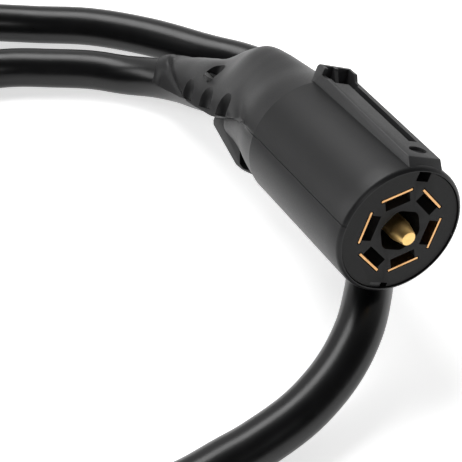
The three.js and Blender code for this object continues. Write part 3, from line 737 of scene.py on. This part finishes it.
def rail():
    """The key rail with its slot, dimple and the ribbed stop at its rear."""
    outline = [
        (-0.9, 18), (-0.9, 21.8), (-3.5, 24.2), (-54.4, 25.7), (-56.2, 27.8), (-61.1, 27.8), (-62, 26.8),
        (-62, 18),
    ]
    body = rounded(prism("key_rail", outline, -RAIL_HALF, RAIL_HALF), RAIL_ROUND, 20)
    slot = block("slot", 0.7, 4.1, RAIL_FLOOR, RAIL_TOP, RAIL_REAR, -13.8)
    left = block("left", -5.0, -1.6, RAIL_FLOOR, RAIL_TOP, RAIL_REAR, -51.5)
    right = block("right", -0.1, 5.0, RAIL_FLOOR, RAIL_TOP, RAIL_REAR, -53.0)
    slope = [(-58.6, RAIL_TOP), (-58.6, 27.2), (-55.5, 23.8), (-51.5, 23.8), (-51.5, RAIL_TOP)]
    ramp = prism("ramp", slope, -5.0, 5.0)
    notch = block("notch", -8, -4.0, 25.3, RAIL_TOP, -57.6, -54.2)
    dimple = turned("dimple", [(POLE, 0), (3.2, 0), (3.6, 3), (POLE, 3)], 64, "y")
    for v in dimple.data.vertices:
        v.co = Vector((v.co.x + 0.5, v.co.y + 23.4, v.co.z * 0.62 - 8.3))
    inner = turned("inner", [(BODY_R - 1.6, -63), (BODY_R - 1.6, 2)], 144)
    return cut(body, slot, left, right, ramp, notch, dimple, inner)


def lower_shell():
    outline = [
        (-66, -16), (-70.5, -20.6), (-76.5, -22.4), (-80.5, -23.4), (-85, -23.8), (-107.3, -19.2),
        (-108.5, -17.8), (-108.5, -13), (COLLAR_END, -10),
    ]
    foot = rounded(prism("foot", outline, -FOOT_HALF, FOOT_HALF), FOOT_ROUND, 25)
    shell = join(loft("shell_bottom", stations(COLLAR_END)), foot)
    combine(shell, "INTERSECT", [below_parting(-PART_GAP)])
    pocket = [(-74.8, -20.9), (-79.4, -22.4), (-82.5, -22.2), (-86, -17.6)]
    left, right = (-9, -FOOT_POCKET_FROM), (FOOT_POCKET_FROM, 9)
    cut(shell, *room(), *(prism("pocket", pocket, low, high) for low, high in (left, right)))
    return join(shell, block("tab", -2.6, 1.8, -21.7, -19.4, -6.5, -1))


finish_piece(upper_shell(), SHELL, "shell", "upper_shell", crease=CREASE)
finish_piece(rail(), RAIL_WITH_PAINTED_LIGHT, "shell", "upper_shell", angle=28)
finish_piece(lower_shell(), SHELL, "shell", "lower_shell", crease=CREASE)


# ---------------------------------------------------------------- middle pin
def pin():
    profile = [
        (POLE, -24.5), (3.65, -24.5), (3.65, -0.7), (3.55, -0.2), (2.5, 4.15), (2.3, 4.42), (2.05, 4.5),
        (POLE, 4.5),
    ]
    return turned("middle_pin", profile)


finish_piece(pin(), PIN_BRASS, "pin_brass", "centre_pin")


# ---------------------------------------------------------------- floor and light
FLOOR_HALF = 6


def make_floor():
    corners = [(x * FLOOR_HALF, y * FLOOR_HALF, TABLE) for x, y in ((-1, -1), (1, -1), (1, 1), (-1, 1))]
    floor = solid("floor", corners, [(0, 1, 2, 3)])
    n = Nodes("pale_floor")
    pale = n.ramp(n.noise(2, 2), [(0.3, (0.86, 0.86, 0.86)), (0.7, (0.90, 0.90, 0.90))])
    n.link(pale, n.shader.inputs["Base Color"])
    n.shader.inputs["Roughness"].default_value = 0.9
    n.shader.inputs["Specular IOR Level"].default_value = 0.1
    n.shader.inputs["Emission Color"].default_value = (1, 1, 1, 1)
    n.shader.inputs["Emission Strength"].default_value = 0.62
    floor.data.materials.append(n.material)


def area_light(name, place_at, size, power):
    """A soft light that looks at the plug's middle."""
    data = bpy.data.lights.new(name, "AREA")
    data.shape = "RECTANGLE"
    data.size, data.size_y = size
    data.energy = power
    light = bpy.data.objects.new(name, data)
    bpy.context.collection.objects.link(light)
    light.rotation_mode = "QUATERNION"
    light.rotation_quaternion = (-Vector(place_at)).to_track_quat("-Z", "Y")
    light.location = place_at


def make_world():
    """Soft light that is strongest from behind the object and weak from the front."""
    world = bpy.data.worlds.new("studio")
    bpy.context.scene.world = world
    world.use_nodes = True
    tree = world.node_tree
    coords = tree.nodes.new("ShaderNodeTexCoord")
    parts = tree.nodes.new("ShaderNodeSeparateXYZ")
    tree.links.new(coords.outputs["Generated"], parts.inputs["Vector"])
    span = tree.nodes.new("ShaderNodeMapRange")
    span.interpolation_type = "SMOOTHSTEP"
    span.inputs["From Min"].default_value = -0.3
    span.inputs["From Max"].default_value = 0.9
    span.inputs["To Min"].default_value = 0.06
    span.inputs["To Max"].default_value = 0.75
    tree.links.new(parts.outputs["Y"], span.inputs["Value"])
    tree.links.new(span.outputs["Result"], tree.nodes["Background"].inputs["Strength"])
    tree.nodes["Background"].inputs["Color"].default_value = (1, 1, 1, 1)


make_floor()
make_world()
area_light("top_light", (-0.3, 0.5, 1.0), (0.8, 0.5), 9)
area_light("front_light", (0.15, -1.1, 0.75), (0.5, 0.3), 2.5)
area_light("left_light", (-1.1, 0.1, 0.5), (0.4, 0.9), 5)
bpy.context.scene.view_settings.view_transform = "Standard"
